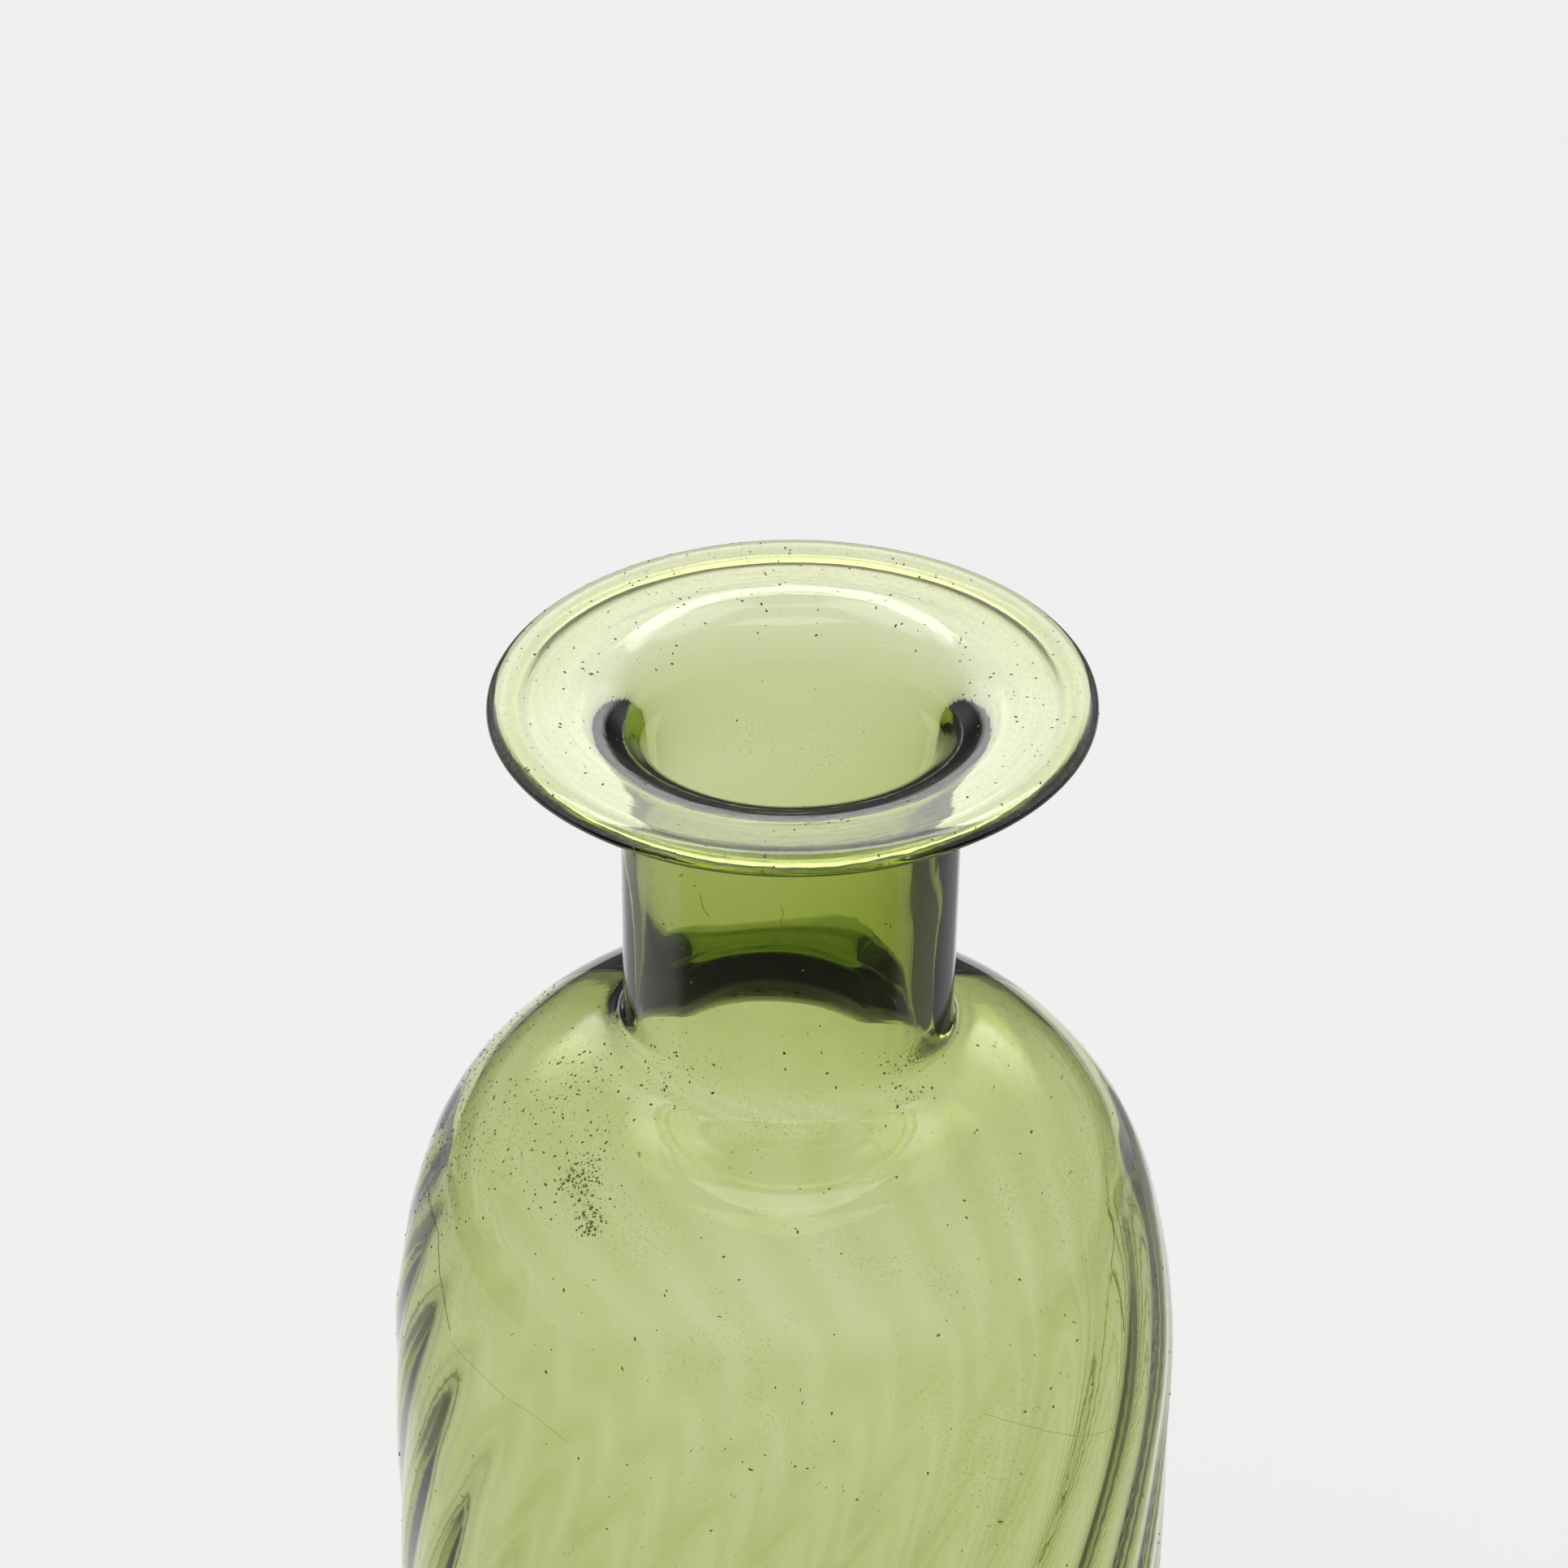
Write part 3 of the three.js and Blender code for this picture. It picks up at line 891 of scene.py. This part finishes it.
node(tree, "ShaderNodeOutputMaterial", [dust.outputs[0]])

settled_dust = make_piece(
    "settled_dust",
    flask_glass.data.copy(),
    film_tree(),
    From_Height=dust_from_height,
    Least_Slope=dust_least_slope,
    Gap=dust_gap,
    Thickness=dust_thickness,
    Material=material,
)
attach(settled_dust, "root")


# Flecks of dirt: old soil that has dried on, caked in a patch on the left of the shoulder and in the creases
# at the root of the neck, and strewn thinly over the rest of the outer skin and the lip.
# A patch is its angle from the front in degrees, height, reach, and the flecks on a square metre of it.
fleck_patches = (
    (-47, 0.1400, 0.0034, 3.0e7),
    (-40, 0.1378, 0.0028, 4.0e7),
    (-46, 0.1393, 0.0075, 2.5e6),
    (44, 0.1490, 0.0060, 7.0e6),
    (-46, 0.1490, 0.0060, 3.5e6),
    (-67, 0.1435, 0.0140, 3.0e6),
    (-81, 0.1326, 0.0140, 3.0e6),
    (-105, 0.1380, 0.0120, 2.0e6),
)
flecks_all_over = 6.0e4
flecks_on_lip = 3.0e5
flecks_from_height = 0.004
fleck_lip_height = 0.186
fleck_sizes = (0.00004, 0.00020)
fleck_shape = (1.4, 0.8, 0.4)
fleck_colours = (0.050, 0.046, 0.014, 1), (0.17, 0.15, 0.06, 1)
fleck_roughness = 0.85
fleck_shade_scale = 900.0
fleck_lump_scale = 30000.0
fleck_lump_height = 0.00001
outside_reach = 0.1

skin = BVHTree.FromObject(flask_glass, bpy.context.evaluated_depsgraph_get())


def on_skin(angle, height):
    """The point of the outer skin at an angle from the front, in degrees, and a height, and its normal."""
    outward = Vector((math.sin(math.radians(angle)), -math.cos(math.radians(angle)), 0))
    return skin.ray_cast(outward * outside_reach + Vector((0, 0, height)), -outward)[:2]


def fleck_tree():
    """Strews flattened grains over a mesh by its attribute of flecks to a square metre, in clumps."""
    tree = bpy.data.node_groups.new("flecks", "GeometryNodeTree")
    given = tree_inputs(
        tree,
        Geometry="Geometry",
        Clump_Size=0.0006,
        Clump_Share=0.45,
        Least_Size=0.00003,
        Most_Size=0.0001,
        Seed=5,
        Material="Material",
    )
    spread = {"Mesh": given["Geometry"], "Density": attribute(tree, "flecks"), "Seed": given["Seed"]}
    strewn = node(tree, "GeometryNodeDistributePointsOnFaces", spread, distribute_method="RANDOM").outputs
    position = node(tree, "GeometryNodeInputPosition").outputs[0]
    clumps = noise_level(tree, position, calc(tree, "DIVIDE", 1.0, given["Clump Size"]), detail=1.0)
    bare = {"Geometry": strewn["Points"], "Selection": calc(tree, "LESS_THAN", clumps, given["Clump Share"])}
    left = node(tree, "GeometryNodeDeleteGeometry", bare, domain="POINT").outputs[0]
    grain = node(tree, "GeometryNodeMeshIcoSphere", {"Radius": 1.0, "Subdivisions": 1}).outputs["Mesh"]
    any_size = {"Min": 0.0, "Max": 1.0, "Seed": given["Seed"]}
    lot = node(tree, "FunctionNodeRandomValue", any_size, data_type="FLOAT").outputs["Value"]
    mostly_small = calc(tree, "POWER", lot, 3.0)
    size_range = calc(tree, "SUBTRACT", given["Most Size"], given["Least Size"])
    size = calc(tree, "MULTIPLY_ADD", mostly_small, size_range, given["Least Size"])
    whole_turn = {"Max": 2 * math.pi, "Seed": calc(tree, "ADD", given["Seed"], 1.0)}
    spin = node(tree, "FunctionNodeRandomValue", whole_turn, data_type="FLOAT").outputs["Value"]
    spun = {"Rotation": strewn["Rotation"], "Rotate By": joined(tree, 0.0, 0.0, spin)}
    turned = node(tree, "FunctionNodeRotateRotation", spun, rotation_space="LOCAL").outputs[0]
    shape = joined(tree, *(calc(tree, "MULTIPLY", size, share) for share in fleck_shape))
    laid = {"Points": left, "Instance": grain, "Rotation": turned, "Scale": shape}
    placed = node(tree, "GeometryNodeInstanceOnPoints", laid).outputs[0]
    finish_tree(tree, placed, given["Material"])
    return tree


material, tree, place = new_material("dried_dirt")
shades = noise_level(tree, place, fleck_shade_scale)
lump = noise_level(tree, place, fleck_lump_scale)
lumps = {"Strength": 1.0, "Distance": fleck_lump_height, "Height": lump}
finish = {
    "Base Color": mix(tree, shades, *fleck_colours),
    "Roughness": fleck_roughness,
    "Normal": node(tree, "ShaderNodeBump", lumps).outputs[0],
}
dirt = node(tree, "ShaderNodeBsdfPrincipled", finish)
node(tree, "ShaderNodeOutputMaterial", [dirt.outputs[0]])

mesh = flask_glass.data.copy()
points = np.empty(len(mesh.vertices) * 3)
mesh.vertices.foreach_get("co", points)
points = points.reshape(-1, 3)
inner_skin = np.empty(len(points))
mesh.attributes["inner"].data.foreach_get("value", inner_skin)
outside = inner_skin < 0.5
flecks = np.where(points[:, 2] > fleck_lip_height, flecks_on_lip, outside * flecks_all_over)
for angle, height, reach, share in fleck_patches:
    far = np.linalg.norm(points - np.array(on_skin(angle, height)[0]), axis=1) / reach
    flecks += share * np.clip(1 - far**2, 0, 1) ** 2 * outside
flecks *= points[:, 2] > flecks_from_height
mesh.attributes.new("flecks", "FLOAT", "POINT").data.foreach_set("value", flecks)
flecks_of_dirt = make_piece(
    "flecks_of_dirt",
    mesh,
    fleck_tree(),
    Clump_Size=0.0006,
    Clump_Share=0.47,
    Least_Size=fleck_sizes[0],
    Most_Size=fleck_sizes[1],
    Seed=5,
    Material=material,
)
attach(flecks_of_dirt, "root")


# Lint and tide lines: short fibres of lint that stick to the neck and the body, and the thin rims of scale
# left where water dried. Each runs through points on the outer skin: degrees from the front, and height.
lint_runs = (
    ((-31.4, 0.1740), (-30.2, 0.1722), (-28.2, 0.1716)),
    ((-3.1, 0.1747), (-1.9, 0.1735), (-3.3, 0.1727), (-1.3, 0.1711)),
    ((69.9, 0.1321), (67.8, 0.1291), (63.5, 0.1268), (63.9, 0.1226), (63.2, 0.1188)),
    ((-83.1, 0.1269), (-72.2, 0.1261), (-66.4, 0.1225), (-60.9, 0.1187)),
    ((152.0, 0.1400), (155.0, 0.1385), (157.0, 0.1362)),
    ((108.0, 0.0910), (110.0, 0.0895), (111.5, 0.0902)),
)
tide_runs = (
    ((31.3, 0.1197), (39.6, 0.1157), (49.3, 0.1110), (58.0, 0.1085)),
    ((-60.6, 0.1178), (-50.3, 0.1169), (-39.6, 0.1162), (-33.0, 0.1150)),
)
lint_radius = 0.000035
lint_lift = 1.6 * lint_radius
lint_wander = 0.00009
lint_seed = 7
lint_colours = (0.045, 0.040, 0.022, 1), (0.13, 0.12, 0.07, 1)
tide_radius = 0.000025
tide_lift = 0.6 * tide_radius
tide_colours = (0.12, 0.14, 0.05, 1), (0.34, 0.36, 0.20, 1)
strand_roughness = 0.8
strand_shade_scale = 1400.0
strand_shade_noise = (0.35, 0.65)
steps_between = 7
wander_scale = 900


def strand_tree():
    """Gives thin round bodies to lines."""
    tree = bpy.data.node_groups.new("strands", "GeometryNodeTree")
    given = tree_inputs(
        tree,
        Geometry="Geometry",
        Radius=0.00003,
        Sides=5,
        Material="Material",
    )
    curve = node(tree, "GeometryNodeMeshToCurve", [given["Geometry"]]).outputs[0]
    circle = {"Resolution": given["Sides"], "Radius": given["Radius"]}
    section = node(tree, "GeometryNodeCurvePrimitiveCircle", circle).outputs[0]
    bodies = {"Curve": curve, "Profile Curve": section, "Fill Caps": True}
    body = node(tree, "GeometryNodeCurveToMesh", bodies).outputs[0]
    finish_tree(tree, body, given["Material"])
    return tree


def strand_material(name, colours):
    """Matt fibre or scale, shaded unevenly along its length."""
    material, tree, place = new_material(name)
    shades = ramp(tree, noise_level(tree, place, strand_shade_scale), *strand_shade_noise)
    finish = {"Base Color": mix(tree, shades, *colours), "Roughness": strand_roughness}
    matt = node(tree, "ShaderNodeBsdfPrincipled", finish)
    node(tree, "ShaderNodeOutputMaterial", [matt.outputs[0]])
    return material


def lines_on_skin(name, runs, lift, wander):
    """A mesh of lines that follow the outer skin through the points of each run."""
    points = []
    edges = []
    for run in runs:
        first = len(points)
        places = []
        for start, end in zip(run[:-1], run[1:]):
            between = np.subtract(end, start)
            places += [np.add(start, between * i / steps_between) for i in range(steps_between)]
        places.append(np.array(run[-1]))
        for angle, height in places:
            place, normal = on_skin(angle, height)
            points.append(place + normal * lift + noise.noise_vector(place * wander_scale) * wander)
        edges += [(i, i + 1) for i in range(first, len(points) - 1)]
    mesh = bpy.data.meshes.new(name)
    mesh.from_pydata(points, edges, [])
    return mesh


noise.seed_set(lint_seed)
strands = strand_tree()
lint = make_piece(
    "lint_fibres",
    lines_on_skin("lint_fibres", lint_runs, lint_lift, lint_wander),
    strands,
    Radius=lint_radius,
    Material=strand_material("lint", lint_colours),
)
tide_lines = make_piece(
    "tide_lines",
    lines_on_skin("tide_lines", tide_runs, tide_lift, 0.0),
    strands,
    Radius=tide_radius,
    Material=strand_material("dried_scale", tide_colours),
)
for piece in (lint, tide_lines):
    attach(piece, "root")


# The pontil scar: the rough ring of glass that the iron left in the hollow under the base when the flask was
# cracked off it. It is fused to the flat top of the push-up.
scar_low, scar_high = (Vector(corner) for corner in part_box("pontil_scar"))
scar_outer_radius = (scar_high.x - scar_low.x) / 2
scar_inner_share = 0.587
scar_middle = scar_outer_radius * (1 + scar_inner_share) / 2
scar_half_width = scar_outer_radius * (1 - scar_inner_share) / 2
scar_depth = scar_high.z - scar_low.z
scar_sunk = 0.00005
scar_top = scar_high.z + scar_sunk
scar_section_middle = 0.55
scar_section_half_depth = 0.6
scar_facets = 120
scar_section_facets = 16
scar_jag = 0.00035
scar_jag_scale = 700
scar_jag_fractal = (0.6, 2.1, 4)
scar_jag_drop = 0.6

points = []
for i in range(scar_facets):
    angle = 2 * math.pi * i / scar_facets
    outward = Vector((math.cos(angle), math.sin(angle), 0))
    for j in range(scar_section_facets):
        section_angle = 2 * math.pi * j / scar_section_facets
        across = scar_half_width * math.cos(section_angle)
        down_share = scar_section_middle + scar_section_half_depth * math.sin(section_angle)
        down_share = min(max(down_share, 0), 1)
        place = outward * (scar_middle + across) + Vector((0, 0, scar_top - scar_depth * down_share))
        broken = min(1.0, down_share * 2)
        jag = noise.fractal(place * scar_jag_scale, *scar_jag_fractal) * scar_jag * broken
        place += (outward * math.cos(section_angle) - Vector((0, 0, scar_jag_drop))) * jag
        place.z = min(max(place.z, scar_low.z), scar_top)
        points.append(place)
faces = []
for i in range(scar_facets):
    for j in range(scar_section_facets):
        here = i * scar_section_facets
        ahead = (i + 1) % scar_facets * scar_section_facets
        up_one = (j + 1) % scar_section_facets
        faces.append((here + j, here + up_one, ahead + up_one, ahead + j))
mesh = bpy.data.meshes.new("pontil_scar_glass")
mesh.from_pydata(points, [], faces)
shell = bmesh.new()
shell.from_mesh(mesh)
bmesh.ops.remove_doubles(shell, verts=shell.verts, dist=merge_distance)
bmesh.ops.recalc_face_normals(shell, faces=shell.faces)
shell.to_mesh(mesh)
shell.free()
mesh.materials.append(
    glass_material("broken_glass", roughness=0.12, ring_height=0.0, streak_height=0.00002, mottle_amount=0.8)
)
pontil_scar = bpy.data.objects.new("pontil_scar_glass", mesh)
scene.collection.objects.link(pontil_scar)
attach(pontil_scar, "root")
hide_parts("pontil_scar")
